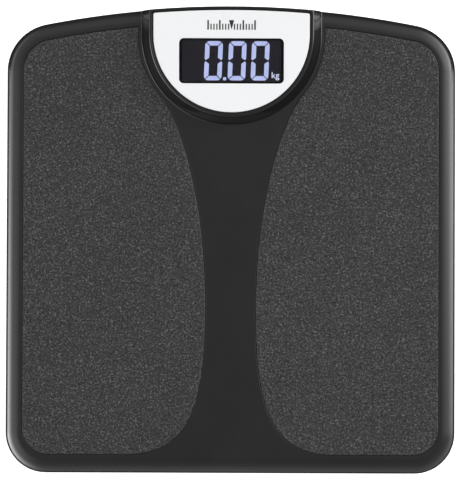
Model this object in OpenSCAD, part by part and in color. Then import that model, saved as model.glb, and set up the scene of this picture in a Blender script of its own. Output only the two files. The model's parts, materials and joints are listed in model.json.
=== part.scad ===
// Digital bathroom scale: a moulded platform on a base tray, four load-cell feet,
// and a raised display pod at the rear edge. +Z is up and the user stands facing +Y.
// The origin is on the floor, under the middle of the scale.

/* [Body] */
// Overall width
body_w = 300; // [294:1:304]
// Overall depth, from the front edge to the middle of the rear edge
body_d = 312; // [308:1:316]
// Height of the standing surface above the floor
platform_z = 30; // [30:0.5:32]
// Plan radius of the front corners
front_corner_r = 27; // [25:1:30]
// Plan radius of the rear corners
rear_corner_r = 32; // [30:1:35]
// Plan radius of the arched rear edge
rear_arch_r = 640; // [600:10:700]
// Radius of the platform's rounded rim
rim_r = 10; // [9:0.5:10]
// Wall thickness of the platform shell
shell_t = 3; // [2.5:0.5:3]

/* [Standing mats] */
// Distance from the outline to the mats at the sides and the rear
mat_margin = 11.5; // [10.7:0.1:12.5]
// Distance from the front edge to the mats
mat_front_margin = 12.7; // [11:0.1:14]
// Thickness of a mat
mat_t = 1.3; // [1.2:0.1:1.6]
// Depth of the recess that a mat lies in
mat_recess = 1; // [0.8:0.1:1.1]
// Width of the groove around a mat
mat_groove = 0.5; // [0.4:0.1:0.8]
// Half the width of the smooth spine at its waist
waist_half_w = 16.3; // [14:0.1:18]

/* [Display pod] */
// Radius of the pod where it meets the platform
pod_base_r = 59.8; // [59.5:0.1:60.5]
// Radius of the face plate
fascia_r = 52; // [51.8:0.1:52.5]
// Height of the pod above the standing surface
pod_h = 8; // [6:0.5:9]
// Width of the display window
window_w = 69.4; // [66:0.2:70]
// Depth of the display window
window_d = 29.8; // [29:0.2:30.6]

/* [Feet] */
// Distance from the sides, front and rear to each foot's axis
foot_inset = 42; // [41:1:44]
// Radius of a foot cap
foot_r = 18; // [16:0.5:18]
// Height of the base tray above the floor
base_z = 6; // [6:0.1:6.5]
// Travel of a foot when its load cell bends at full load
foot_travel = 0.6; // [0.3:0.1:0.8]

/* [Underside] */
// Place of the battery box on the depth axis
battery_y = 20; // [10:1:25]
// Place of the unit button on the width axis
button_x = 52; // [50:1:56]
// Radius of the unit button
button_r = 4.5; // [4:0.1:5]

/* [Hidden] */

// Outline of the scale: a straight front and sides, and a rear edge that is one long arc
half_w = body_w / 2;
front_y = -body_d / 2;
arch_y = body_d / 2;
arch_cy = arch_y - rear_arch_r;
front_cx = half_w - front_corner_r;
front_cy = front_y + front_corner_r;
rear_cx = half_w - rear_corner_r;
rear_cy = arch_cy + sqrt(pow(rear_arch_r - rear_corner_r, 2) - pow(rear_cx, 2));
arch_a = atan2(rear_cy - arch_cy, rear_cx);

// Levels of the shells
skirt_z = 11;
plate_z = platform_z - shell_t;
base_t = 2.5;
base_floor_z = base_z + base_t;
base_wall_z = 17;
base_inset = 3.5;
base_wall_t = 2;
rib_z = 14.2;
rib_t = 1.8;
rib_pitch = 30;
eps = 0.01;

// Display pod: concentric about one point near the rear edge
pod_cy = arch_y - 19.8;
pod_top_z = platform_z + pod_h;
pod_deck_z = pod_top_z - 1.6;
pod_ceiling_z = pod_deck_z - 1.8;
pod_seat_z = 25;
pod_skirt_r = pod_base_r - 3.8;
pod_inner_r = pod_skirt_r - 2.5;
pod_band_z = 20;
pod_band_d = 11;
pod_wall_t = 3.4;
pod_lean = 1.1;
fascia_gap = 0.8;
fascia_rear_inset = 3.7;
fascia_t = 1.4;
window_cy = pod_cy - 17.8;
window_r = 3;
window_gap = 0.15;

// Display stack, from the window down to the board
lcd_w = 67;
lcd_d = 29.8;
lcd_t = 1.9;
lcd_z = pod_ceiling_z - 0.1 - lcd_t;
backlight_t = 2.4;
board_t = 1.6;
board_top_z = lcd_z - backlight_t;
board_z = board_top_z - board_t;
board_r = 48;
board_half_w = 35;
board_front_y = pod_cy - 41.7;
board_rear_y = pod_cy + 8.3;
board_screw_at = [[-22, pod_cy - 38.1], [22, pod_cy - 38.1], [-31, pod_cy + 4.3], [31, pod_cy + 4.3]];
hood_screw_at = [[-51.5, pod_cy + 4.3], [51.5, pod_cy + 4.3], [-26, pod_cy - 45], [26, pod_cy - 45]];

// Feet and load cells
foot_x = half_w - foot_inset;
foot_front_y = front_y + foot_inset;
foot_rear_y = arch_y - foot_inset - 9.3;
FEET = [[-foot_x, foot_front_y], [foot_x, foot_front_y], [-foot_x, foot_rear_y], [foot_x, foot_rear_y]];
pad_t = 2.2;
pad_r = foot_r - 2.5;
cap_top_z = 9;
cell_w = 34;
cell_t = 2;
well_wall_z = 11;
cell_z = well_wall_z + foot_travel + 0.7;
cell_hole_r = 2.7;
bracket_w = 48;
bracket_t = 2.5;
bracket_z = cell_z + cell_t + 0.1;
bracket_screw_d = 19;
well_r = foot_r + 1.5;

// Screws that hold the base tray to the platform
case_screw_at = [[-66, front_y + 24.5], [66, front_y + 24.5], [-132, -6], [132, -6], [-72, 128], [72, 128]];
thread_gap = 0.05;
wire_gap = 0.1;

// Battery box for two AAA cells, side by side
cell_pitch = 11.2;
aaa_r = 5.25;
aaa_l = 43.5;
nub_r = 1.9;
nub_l = 1;
box_half_w = 26;
box_half_d = 12.3;
box_top_z = base_floor_z + 11.3;
aaa_z = base_floor_z + 5.5;
hinge_y = battery_y - 15.4;
hinge_z = base_z + 1.6;
hinge_r = 1.5;
hinge_half_l = 22;
pin_r = 1;
pin_l = 2.5;
door_half_w = 27.6;
door_rear_y = battery_y + 13.8;
door_z = base_z + 0.1;
door_t = 1.8;

// Unit button and its switch
button_y = battery_y;
button_travel = 0.5;
button_gap = 0.3;
switch_z = 13.5;
switch_w = 6;
switch_board_z = switch_z + 3.5;
plunger_r = 1.62;
plunger_out = 1.5;
plunger_in = 0.9;
switch_post_at = [[-9, -7], [9, 7]];

$fn = 64;
arc_fn = 96;
arch_fn = 360;

// ---------- shared shapes ----------

// Points of an arc
function arc(c, r, a0, a1, n) = [for (i = [0:n]) let(a = a0 + (a1 - a0) * i / n) c + r * [cos(a), sin(a)]];

// Points of a cubic curve, without its first point
function bezier(p, n) = [for (i = [1:n]) let(t = i / n, s = 1 - t)
    s * s * s * p[0] + 3 * s * s * t * p[1] + 3 * s * t * t * p[2] + t * t * t * p[3]];

// Points of a rectangle with round corners, centred on the origin
function rounded_rect(w, d, r, n = 6) = concat(
    arc([w / 2 - r, d / 2 - r], r, 0, 90, n),
    arc([-w / 2 + r, d / 2 - r], r, 90, 180, n),
    arc([-w / 2 + r, -d / 2 + r], r, 180, 270, n),
    arc([w / 2 - r, -d / 2 + r], r, 270, 360, n));

// A point of a smooth curve through a list of points, at segment i and fraction t
function spline_at(p, i, t) =
    let(a = p[max(i - 1, 0)], b = p[i], c = p[i + 1], d = p[min(i + 2, len(p) - 1)])
    0.5 * (2 * b + (c - a) * t + (2 * a - 5 * b + 4 * c - d) * t * t + (3 * b - a - 3 * c + d) * t * t * t);

function spline(p, n) = concat(
    [for (i = [0:len(p) - 2]) for (k = [0:n - 1]) spline_at(p, i, k / n)], [p[len(p) - 1]]);

function unit(v) = v / norm(v);

// A round tube swept along a path of points, with flat closed ends
module tube(path, r, sides = 6) {
    lean = unit([0.31, 0.17, 0.94]);
    last = len(path) - 1;
    rings = [for (i = [0:last])
        let(t = unit(path[min(i + 1, last)] - path[max(i - 1, 0)]), n = unit(cross(t, lean)), b = cross(t, n))
        for (k = [0:sides - 1]) let(a = 360 * k / sides) path[i] + r * (cos(a) * n + sin(a) * b)];
    walls = [for (i = [0:last - 1]) for (k = [0:sides - 1]) let(j = (k + 1) % sides)
        [i * sides + k, (i + 1) * sides + k, (i + 1) * sides + j, i * sides + j]];
    polyhedron(rings, concat(walls,
        [[for (k = [0:sides - 1]) k]],
        [[for (k = [sides - 1:-1:0]) last * sides + k]]));
}

// Section through the body's edge: x runs inwards from the outline, and the top outer edge is round
module edge_section(depth, round_r, z0, z1) {
    translate([0, z0]) square([depth, z1 - z0 - round_r]);
    translate([round_r, z0]) square([depth - round_r, z1 - z0]);
    intersection() {
        translate([round_r, z1 - round_r]) circle(round_r);
        translate([0, z1 - round_r]) square(round_r);
    }
}

// A solid slab of the body's outline, set in from it, with a rounded upper edge
module slab(inset, round_r, z0, z1) {
    side_x = half_w - inset;
    front_r = front_corner_r - inset;
    rear_r = rear_corner_r - inset;
    translate([-rear_cx, front_cy, z0]) cube([2 * rear_cx, rear_cy - front_cy, z1 - z0]);
    translate([-front_cx, 0, 0]) rotate([90, 0, 90]) linear_extrude(2 * front_cx)
        translate([front_y + inset, 0]) edge_section(front_r, round_r, z0, z1);
    for (side = [0, 1]) mirror([side, 0, 0]) {
        translate([0, rear_cy, 0]) rotate([90, 0, 0]) linear_extrude(rear_cy - front_cy)
            translate([side_x, 0]) mirror([1, 0]) edge_section(rear_r, round_r, z0, z1);
        translate([front_cx, front_cy, 0]) rotate_extrude(angle = 90, start = 270, $fn = arc_fn)
            translate([front_r, 0]) mirror([1, 0]) edge_section(front_r, round_r, z0, z1);
        translate([rear_cx, rear_cy, 0]) rotate_extrude(angle = arch_a, start = 0, $fn = arc_fn)
            translate([rear_r, 0]) mirror([1, 0]) edge_section(rear_r, round_r, z0, z1);
    }
    translate([0, arch_cy, 0]) rotate_extrude(angle = 180 - 2 * arch_a, start = arch_a, $fn = arch_fn)
        translate([rear_arch_r - inset, 0]) mirror([1, 0]) edge_section(50, round_r, z0, z1);
}

// Half of a disc and a straight run behind it: the pod's U-shaped plan, swept from a half section
module u_sweep(half_section, run = 30) {
    translate([0, pod_cy, 0]) rotate_extrude(angle = 180, start = 180, $fn = arc_fn * 2) polygon(half_section);
    translate([0, pod_cy + run, 0]) rotate([90, 0, 0]) linear_extrude(run)
        polygon(concat(half_section, [for (i = [len(half_section) - 1:-1:0])
            if (half_section[i][0] > 0) [-half_section[i][0], half_section[i][1]]]));
}

// A plain U-shaped prism that stops at an arc inside or outside the rear edge
module u_prism(r, rear_inset, z0, z1) {
    intersection() {
        u_sweep([[0, z0], [r, z0], [r, z1], [0, z1]]);
        translate([0, arch_cy, z0 - 1]) cylinder(r = rear_arch_r - rear_inset, h = z1 - z0 + 2, $fn = arch_fn);
    }
}

// A band that follows the rear edge, from one inset to another
module rear_band(half_width, inset_out, inset_in, z0, z1) {
    intersection() {
        translate([-half_width, arch_y - 40, z0]) cube([2 * half_width, 60, z1 - z0]);
        translate([0, arch_cy, 0]) rotate_extrude(angle = 16, start = 82, $fn = arch_fn)
            translate([rear_arch_r - inset_in, z0]) square([inset_in - inset_out, z1 - z0]);
    }
}

// Outline of the right mat, grown by the width of its groove
function mat_points(grow) =
    let(reach = mat_margin - grow,
        rear_r = rear_arch_r - reach,
        corner_r = rear_corner_r - reach,
        edge_r = 17.5 + grow,
        side_x = half_w - reach,
        bottom_y = front_y + mat_front_margin - grow,
        pod_r = pod_base_r + 1.9 + mat_groove - grow,
        pod_y = pod_cy - 39.7,
        pod_x = sqrt(pow(pod_r, 2) - pow(39.7, 2)),
        pod_a = atan2(-39.7, pod_x),
        waist = [waist_half_w + mat_groove - grow, -46.9],
        toe = [70, bottom_y])
    concat(
        arc([0, arch_cy], rear_r, acos(pod_r / rear_r), arch_a, 12),
        arc([rear_cx, rear_cy], corner_r, arch_a, 0, 12),
        arc([side_x - edge_r, bottom_y + edge_r], edge_r, 0, -90, 12),
        [toe],
        bezier([toe, [30 - grow, bottom_y], waist - [0, 70], waist], 20),
        bezier([waist, waist + [0, 78], [pod_x - 12, pod_y - 13.7], [pod_x, pod_y]], 20),
        arc([0, pod_cy], pod_r, pod_a, 0, 14));

// A screw that points up, with its head below z = 0
module screw(head_r, head_h, shaft_r, shaft_l) {
    difference() {
        translate([0, 0, -head_h]) cylinder(r = head_r, h = head_h, $fn = 32);
        for (a = [0, 90]) rotate(a) translate([-head_r * 0.6, -0.35, -head_h - eps]) cube([head_r * 1.2, 0.7, 1]);
    }
    cylinder(r = shaft_r, h = shaft_l, $fn = 24);
}

// ---------- body ----------

module rib_grid() {
    for (i = [-4.5:1:4.5])
        translate([i * rib_pitch - rib_t / 2, front_y + 12, rib_z]) cube([rib_t, 237, plate_z - rib_z + eps]);
    for (j = [-4:1:3])
        translate([-half_w + 8, j * rib_pitch - 13, rib_z]) cube([body_w - 16, rib_t, plate_z - rib_z + eps]);
}

module rib_clearances() {
    for (f = FEET) translate([f[0] - 30, f[1] - 30, rib_z - 1]) cube([60, 60, 30]);
    translate([-36, battery_y - 22, rib_z - 1]) cube([72, 44, 30]);
    translate([button_x - 15, button_y - 14, rib_z - 1]) cube([30, 28, 30]);
    translate([-16.5, battery_y + 10, rib_z - 1]) cube([33, 80, 30]);
    translate([-half_w, 70, rib_z - 1]) cube([body_w, 80, 30]);
}

module platform_shell() {
    difference() {
        slab(0, rim_r, skirt_z, platform_z);
        slab(shell_t, rim_r - shell_t, skirt_z - 1, plate_z);
    }
}

module platform() {
    color("#2b2b2b") difference() {
        union() {
            platform_shell();
            difference() {
                rib_grid();
                rib_clearances();
            }
            u_prism(pod_base_r, 2, pod_seat_z - 3, plate_z + eps);
            for (p = case_screw_at) translate([p[0], p[1], 12.2]) cylinder(r = 4, h = plate_z - 12.2 + eps);
            for (f = FEET) for (x = [-1, 1]) for (y = [-1, 1])
                translate([f[0] + x * bracket_screw_d, f[1] + y * bracket_screw_d, bracket_z + bracket_t])
                    cylinder(r = 3.5, h = plate_z - bracket_z - bracket_t + eps, $fn = 32);
        }
        u_prism(pod_skirt_r + 0.3, -5, pod_seat_z, platform_z + 1);
        rear_band(pod_base_r + 0.3, -5, pod_band_d + 0.3, pod_band_z, platform_z + 1);
        u_prism(pod_skirt_r - 7.5, 14, pod_seat_z - 4, platform_z);
        for (side = [0, 1]) mirror([side, 0, 0])
            translate([0, 0, platform_z - mat_recess]) linear_extrude(mat_recess + 1) polygon(mat_points(mat_groove));
        for (p = case_screw_at) translate([p[0], p[1], 12]) cylinder(r = 1.5 + thread_gap, h = 12, $fn = 24);
        for (f = FEET) for (x = [-1, 1]) for (y = [-1, 1])
            translate([f[0] + x * bracket_screw_d, f[1] + y * bracket_screw_d, bracket_z])
                cylinder(r = 1.25 + thread_gap, h = plate_z - bracket_z - 1, $fn = 24);
        for (p = hood_screw_at) translate([p[0], p[1], pod_seat_z - 4]) cylinder(r = 1.6, h = 6, $fn = 24);
    }
}

module mat(side) {
    color("#4a4a4a") mirror([side, 0, 0]) translate([0, 0, platform_z - mat_recess])
        linear_extrude(mat_t) polygon(mat_points(0));
}

module base_shell() {
    difference() {
        translate([0, 0, base_z + base_wall_z]) mirror([0, 0, 1]) slab(base_inset, 3, base_z, base_wall_z);
        translate([0, 0, base_floor_z + base_wall_z + 1]) mirror([0, 0, 1])
            slab(base_inset + base_wall_t, 1, base_floor_z, base_wall_z + 1);
    }
}

module base_additions() {
    for (f = FEET) translate([f[0], f[1], base_floor_z - eps])
        cylinder(r = well_r + 2.2, h = well_wall_z - base_floor_z);
    for (p = case_screw_at) translate([p[0], p[1], base_floor_z - eps]) cylinder(r = 5, h = 12 - base_floor_z);
    translate([-box_half_w - 4, battery_y - box_half_d - 3.7, base_z])
        cube([2 * box_half_w + 8, 2 * box_half_d + 7.4, box_top_z + 1.4 - base_z]);
    for (s = [-1, 1]) translate([s * (hinge_half_l + 2.2) - 1.9, hinge_y - 3, base_z]) cube([3.8, 5, 4.5]);
    for (p = switch_post_at) translate([button_x + p[0], button_y + p[1], base_floor_z - eps])
        cylinder(r = 2.5, h = switch_board_z - base_floor_z + eps, $fn = 32);
    translate([button_x, button_y, base_floor_z - eps]) difference() {
        cylinder(r = button_r + 3.4, h = 2);
        translate([0, 0, -1]) cylinder(r = button_r + 2.2, h = 4);
    }
}

module battery_box_cuts() {
    translate([-box_half_w, battery_y - box_half_d, base_z - 1])
        cube([2 * box_half_w, 2 * box_half_d, box_top_z - base_z + 1]);
    translate([-door_half_w - 0.4, hinge_y + 2, base_z - 1])
        cube([2 * door_half_w + 0.8, door_rear_y + 0.4 - hinge_y - 2, base_t + 1]);
    translate([-hinge_half_l - 0.3, hinge_y - 2, base_z - 1]) cube([2 * hinge_half_l + 0.6, 5, base_t + 1]);
    translate([-hinge_half_l - 0.3, hinge_y, hinge_z]) rotate([0, 90, 0])
        cylinder(r = hinge_r + 0.4, h = 2 * hinge_half_l + 0.6);
    translate([-hinge_half_l - 4.2, hinge_y, hinge_z]) rotate([0, 90, 0])
        cylinder(r = pin_r + 0.06, h = 2 * hinge_half_l + 8.4);
    translate([-5.5, door_rear_y - 2.8, base_z - 1]) cube([11, 3.6, 7.6]);
    for (y = [-1, 1]) translate([-box_half_w, battery_y + y * cell_pitch / 2 - 2.1, box_top_z - 1])
        cube([0.9, 4.2, 4]);
}

module base_cover() {
    color("#262626") difference() {
        union() {
            base_shell();
            base_additions();
        }
        for (f = FEET) translate([f[0], f[1], base_z - 1]) cylinder(r = well_r, h = 10);
        for (p = case_screw_at) translate([p[0], p[1], base_z - 1]) {
            cylinder(r = 1.7, h = 10, $fn = 32);
            cylinder(r = 3.5, h = 4.5, $fn = 32);
        }
        battery_box_cuts();
        translate([button_x, button_y, base_z - 1]) cylinder(r = button_r + button_gap, h = 5);
        for (p = switch_post_at) translate([button_x + p[0], button_y + p[1], base_floor_z + 1])
            cylinder(r = 1 + thread_gap, h = 10, $fn = 24);
    }
}

// ---------- display pod ----------

module pod_solid() {
    crown = 0.8;
    intersection() {
        union() {
            u_sweep([[0, pod_seat_z], [pod_skirt_r, pod_seat_z], [pod_skirt_r, platform_z],
                [pod_base_r, platform_z], [pod_base_r, platform_z + crown],
                [fascia_r + 2.9, pod_top_z - 0.6], [fascia_r + 2.3, pod_top_z], [0, pod_top_z]]);
            rear_band(pod_base_r, -2, pod_band_d, pod_band_z, platform_z + crown);
        }
        translate([0, arch_cy, 0]) rotate_extrude(angle = 40, start = 70, $fn = arch_fn)
            translate([rear_arch_r, 0]) mirror([1, 0]) polygon([[0, pod_band_z], [pod_lean, pod_top_z - 1.2],
                [pod_lean + 0.35, pod_top_z - 0.35], [pod_lean + 1.2, pod_top_z], [140, pod_top_z], [140, pod_band_z]]);
    }
}

module display_hood() {
    color("#1f1f1f") difference() {
        union() {
            difference() {
                pod_solid();
                u_prism(pod_inner_r, pod_wall_t, pod_band_z - 1, pod_ceiling_z);
            }
            for (p = board_screw_at) translate([p[0], p[1], board_top_z])
                cylinder(r = 2.75, h = pod_ceiling_z - board_top_z + eps, $fn = 32);
            for (p = hood_screw_at) translate([p[0], p[1], pod_seat_z])
                cylinder(r = 3, h = pod_ceiling_z - pod_seat_z + eps, $fn = 32);
        }
        u_prism(fascia_r + fascia_gap, fascia_rear_inset - fascia_gap + 0.2, pod_deck_z, pod_top_z + 1);
        translate([0, window_cy, pod_ceiling_z - 1])
            linear_extrude(5) polygon(rounded_rect(window_w - 3.6, window_d - 1.8, 1.5));
        for (p = board_screw_at) translate([p[0], p[1], board_top_z - 1])
            cylinder(r = 1 + thread_gap, h = 4.8, $fn = 24);
        for (p = hood_screw_at) translate([p[0], p[1], pod_seat_z - 1])
            cylinder(r = 1.3 + thread_gap, h = 7, $fn = 24);
    }
}

module display_fascia() {
    color("#ececea") difference() {
        u_prism(fascia_r, fascia_rear_inset, pod_deck_z, pod_deck_z + fascia_t);
        translate([0, window_cy, pod_deck_z - 1])
            linear_extrude(4) polygon(rounded_rect(window_w + 2 * window_gap, window_d + 2 * window_gap, window_r));
    }
}

module display_window() {
    color([0.1, 0.1, 0.12, 0.6]) translate([0, window_cy, pod_deck_z])
        linear_extrude(fascia_t) polygon(rounded_rect(window_w, window_d, window_r - window_gap));
}

module lcd_glass() {
    color([0.3, 0.35, 0.5, 0.6]) difference() {
        translate([-lcd_w / 2, window_cy - lcd_d / 2, lcd_z]) cube([lcd_w, lcd_d, lcd_t]);
        translate([-lcd_w, window_cy - lcd_d / 2 - 1, lcd_z + lcd_t / 2]) cube([2 * lcd_w, 2.2, lcd_t]);
    }
}

module lcd_backlight() {
    color("#dfe6f5") translate([-lcd_w / 2, window_cy - lcd_d / 2 + 3.2, board_top_z])
        cube([lcd_w, lcd_d - 3.4, backlight_t]);
}

module lcd_frame() {
    h = pod_ceiling_z - board_top_z - 0.1;
    color("#e8e8e4") translate([0, window_cy, board_top_z]) difference() {
        linear_extrude(h) polygon(rounded_rect(2 * board_half_w, lcd_d + 3, 1.2));
        translate([-lcd_w / 2 - 0.1, -lcd_d / 2 - 0.1, -1]) cube([lcd_w + 0.2, lcd_d + 0.2, h + 2]);
    }
}

module zebra_strip() {
    color("#8a8f98") translate([-lcd_w / 2 + 2, window_cy - lcd_d / 2 + 0.4, board_top_z])
        cube([lcd_w - 4, 2.2, backlight_t]);
}

module main_circuit_board() {
    color("#1f6b3a") difference() {
        intersection() {
            translate([0, pod_cy, board_z]) cylinder(r = board_r, h = board_t, $fn = arc_fn);
            translate([-board_half_w, board_front_y, board_z])
                cube([2 * board_half_w, board_rear_y - board_front_y, board_t]);
        }
        for (p = board_screw_at) translate([p[0], p[1], board_z - 1]) cylinder(r = 1.2, h = 4, $fn = 24);
    }
}

// Parts soldered under the board: the controller under its resin drop, a chip, and two rows of small parts
module board_components() {
    color("#141414") {
        translate([0, window_cy, board_z]) rotate([180, 0, 0]) cylinder(r1 = 6, r2 = 4, h = 1.6);
        translate([16, window_cy - 3, board_z - 1.6]) cube([8, 6, 1.6]);
        translate([-25, window_cy - 4, board_z - 2.2]) cube([11, 5, 2.2]);
        for (x = [-3:3]) for (y = [-12, 12])
            translate([x * 6 - 1.2, window_cy + y, board_z - 0.9]) cube([2.4, 1.3, 0.9]);
    }
}

module board_screws() {
    color("#b8b8b8") for (p = board_screw_at) translate([p[0], p[1], board_z]) screw(2.2, 1.5, 1, 5);
}

module hood_screws() {
    color("#b8b8b8") for (p = hood_screw_at) translate([p[0], p[1], pod_seat_z - 3]) screw(2.6, 1.8, 1.3, 8);
}

// ---------- feet ----------

module foot_cap(f) {
    color("#303030") translate([f[0], f[1], 0]) rotate_extrude() polygon([[0, pad_t], [foot_r - 1.5, pad_t],
        [foot_r, pad_t + 1.5], [foot_r, cap_top_z], [foot_r - 2, cap_top_z], [foot_r - 2, 5], [6, 5],
        [6, cell_z], [2.4, cell_z], [2.4, cell_z + cell_t + 0.2], [3.4, cell_z + cell_t + 0.2],
        [2.2, cell_z + cell_t + 1.8], [0, cell_z + cell_t + 1.8]]);
}

module foot_pad(f) {
    color("#3c3c3c") translate([f[0], f[1], 0]) rotate_extrude() polygon([[0, 0], [pad_r - 0.6, 0],
        [pad_r, 0.6], [pad_r, pad_t], [0, pad_t]]);
}

// Steel plate with a U-shaped slot that leaves a tongue in its middle, which the foot hangs on
module load_cell(f) {
    color("#9a9da0") translate([f[0], f[1], cell_z]) difference() {
        linear_extrude(cell_t) polygon(rounded_rect(cell_w, cell_w, 3));
        for (s = [-1, 1]) translate([s * 7.5 - 1, -9, -1]) cube([2, 20, cell_t + 2]);
        translate([-8.5, 9, -1]) cube([17, 2, cell_t + 2]);
        translate([0, 0, -1]) cylinder(r = cell_hole_r, h = cell_t + 2, $fn = 32);
    }
}

module cell_bracket(f) {
    color("#d8d8d2") translate([f[0], f[1], bracket_z]) difference() {
        union() {
            linear_extrude(bracket_t) polygon(rounded_rect(bracket_w, bracket_w, 4));
            for (s = [0, 1]) mirror([s, 0, 0]) {
                translate([cell_w / 2 + 0.2, -10, -2.7]) cube([2, 20, 2.7 + eps]);
                translate([cell_w / 2 - 1, -10, -2.7]) cube([1.3, 20, 0.5]);
            }
        }
        translate([0, 0, -1]) cylinder(r = 12, h = bracket_t + 2);
        for (x = [-1, 1]) for (y = [-1, 1])
            translate([x * bracket_screw_d, y * bracket_screw_d, -1]) cylinder(r = 1.4, h = 6, $fn = 24);
    }
}

module strain_gauges() {
    color("#c9a24a") for (f = FEET) translate([f[0] - 3.5, f[1] - 8.6, cell_z + cell_t]) cube([7, 4, 0.4]);
}

module bracket_screws() {
    color("#b8b8b8") for (f = FEET) for (x = [-1, 1]) for (y = [-1, 1])
        translate([f[0] + x * bracket_screw_d, f[1] + y * bracket_screw_d, bracket_z]) screw(2.5, 1.6, 1.25, 9);
}

module case_screws() {
    color("#8c8c8c") for (p = case_screw_at) translate([p[0], p[1], base_z + 3.5]) screw(3, 2.4, 1.5, 13);
}

module load_cell_wires() {
    floor_z = base_floor_z + 1.7;
    color("#b33a2e") for (side = [0, 1]) mirror([side, 0, 0]) {
        tube(spline([[foot_x - 9, foot_front_y + 17.4, 13.1], [foot_x - 14, foot_front_y + 26, 12.5],
            [70, -62, floor_z], [41, -25, floor_z], [35, 30, floor_z], [22, 62, floor_z], [14, 82, 11.5],
            [12.5, 93, 15], [12, 102, 20], [12, 102, 24], [12, 102, board_z - wire_gap]], 4), 1);
        tube(spline([[foot_x - 17.4, foot_rear_y - 12, 13.1], [foot_x - 26, foot_rear_y - 14, 12.5],
            [50, 84, floor_z + 0.2], [32, 81, floor_z + 0.6], [20, 88, 13], [17, 102, 20],
            [17, 102, 24], [17, 102, board_z - wire_gap]], 4), 1);
    }
}

// ---------- battery box ----------

// One AAA cell: its nub points to +X or -X, and touches the contact there
module battery(row, dir) {
    color("#b5762a") translate([dir * (box_half_w - 0.5), battery_y + row * cell_pitch / 2, aaa_z])
        rotate([0, -90 * dir, 0]) {
            cylinder(r = nub_r, h = nub_l + eps, $fn = 32);
            translate([0, 0, nub_l]) cylinder(r = aaa_r, h = aaa_l, $fn = 48);
        }
}

module battery_springs() {
    turns = 4;
    free_l = 2 * box_half_w - 1 - nub_l - aaa_l;
    color("#c8c8c8") for (dir = [-1, 1])
        translate([-dir * (box_half_w - 0.5), battery_y + dir * -cell_pitch / 2, aaa_z])
            tube([for (i = [0:turns * 10]) let(a = 36 * i, s = i / (turns * 10))
                [dir * (0.4 + s * (free_l - 0.8)), (3.6 - s) * cos(a), (3.6 - s) * sin(a)]], 0.35);
}

module battery_contacts() {
    plate_h = 9;
    color("#d0d0cc") {
        translate([box_half_w - 0.5, battery_y - cell_pitch / 2 - 4.5, aaa_z - 4.5])
            cube([0.4, cell_pitch + 9, plate_h]);
        for (y = [-1, 1]) {
            translate([-box_half_w + 0.1, battery_y + y * cell_pitch / 2 - 4, aaa_z - 4.5]) cube([0.4, 8, plate_h]);
            translate([-box_half_w + 0.1, battery_y + y * cell_pitch / 2 - 1.9, aaa_z]) cube([0.4, 3.8, 8.6]);
        }
    }
}

module battery_door() {
    color("#2a2a2a") difference() {
        union() {
            translate([-door_half_w, hinge_y + 3.2, door_z])
                cube([2 * door_half_w, door_rear_y - hinge_y - 3.2, door_t]);
            translate([-hinge_half_l, hinge_y, door_z]) cube([2 * hinge_half_l, 4, door_t]);
            translate([-hinge_half_l, hinge_y, hinge_z]) rotate([0, 90, 0]) cylinder(r = hinge_r, h = 2 * hinge_half_l);
            translate([-hinge_half_l - pin_l, hinge_y, hinge_z]) rotate([0, 90, 0])
                cylinder(r = pin_r, h = 2 * (hinge_half_l + pin_l), $fn = 32);
            translate([-5, door_rear_y - 2, door_z]) cube([10, 1.4, 5.6]);
        }
        translate([-8, door_rear_y - 6, door_z - 1]) cube([16, 3.4, 1.7]);
        for (i = [0:5]) translate([-16, hinge_y + 7 + i * 2, door_z - 1]) cube([32, 0.8, 1.4]);
    }
}

module battery_wires() {
    color("#202020") for (y = [-1, 1])
        tube(spline([[-box_half_w - 0.9, battery_y + y * cell_pitch / 2, box_top_z + 3.6],
            [-22 - y * 2, battery_y + 12, 24.4], [-9 - y * 2, battery_y + 30, 21], [-7 - y * 2, 74, 17.5],
            [-7 - y * 2, 88, 17], [-7 - y * 2, 98, 20], [-7 - y * 2, 98, 24],
            [-7 - y * 2, 98, board_z - wire_gap]], 4), 0.7);
}

// ---------- unit button ----------

module unit_button() {
    color("#3a3a3a") translate([button_x, button_y, 0]) rotate_extrude() polygon([[0, base_z - 0.9],
        [button_r - 0.5, base_z - 0.9], [button_r, base_z - 0.4], [button_r, base_floor_z + 0.1],
        [button_r + 1.6, base_floor_z + 0.1], [button_r + 1.6, base_floor_z + 1.1],
        [1.9, base_floor_z + 1.1], [1.9, switch_z - plunger_out], [0, switch_z - plunger_out]]);
}

module switch_plunger() {
    color("#e0e0e0") translate([button_x, button_y, switch_z - plunger_out])
        cylinder(r = plunger_r, h = plunger_out + plunger_in, $fn = 32);
}

module unit_switch() {
    color("#101010") translate([button_x, button_y, switch_z]) difference() {
        translate([-switch_w / 2, -switch_w / 2, 0]) cube([switch_w, switch_w, 3.5]);
        translate([0, 0, -1]) cylinder(r = plunger_r + 0.08, h = 1.3 + plunger_in + button_travel, $fn = 32);
    }
}

module switch_board() {
    color("#1f6b3a") translate([button_x, button_y, switch_board_z]) difference() {
        linear_extrude(board_t) polygon(rounded_rect(24, 19, 2));
        for (p = switch_post_at) translate([p[0], p[1], -1]) cylinder(r = 1.2, h = 4, $fn = 24);
    }
}

module switch_board_screws() {
    color("#b8b8b8") for (p = switch_post_at) translate([button_x + p[0], button_y + p[1], switch_board_z + board_t])
        rotate([180, 0, 0]) screw(2.2, 1.5, 1, 6);
}

module switch_wires() {
    color("#303a80") tube(spline([[button_x - 7, button_y + 2, switch_board_z + board_t + 1],
        [button_x - 12.5, button_y + 5, switch_board_z + board_t + 1.3], [button_x - 17, button_y + 10, 16.8],
        [button_x - 22, button_y + 22, 13], [23, 58, 12.9], [5, 78, 14],
        [3, 88, 16.5], [3, 98, 20], [3, 98, 24], [3, 98, board_z - wire_gap]], 4), 0.9);
}

// ---------- placement ----------

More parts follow.
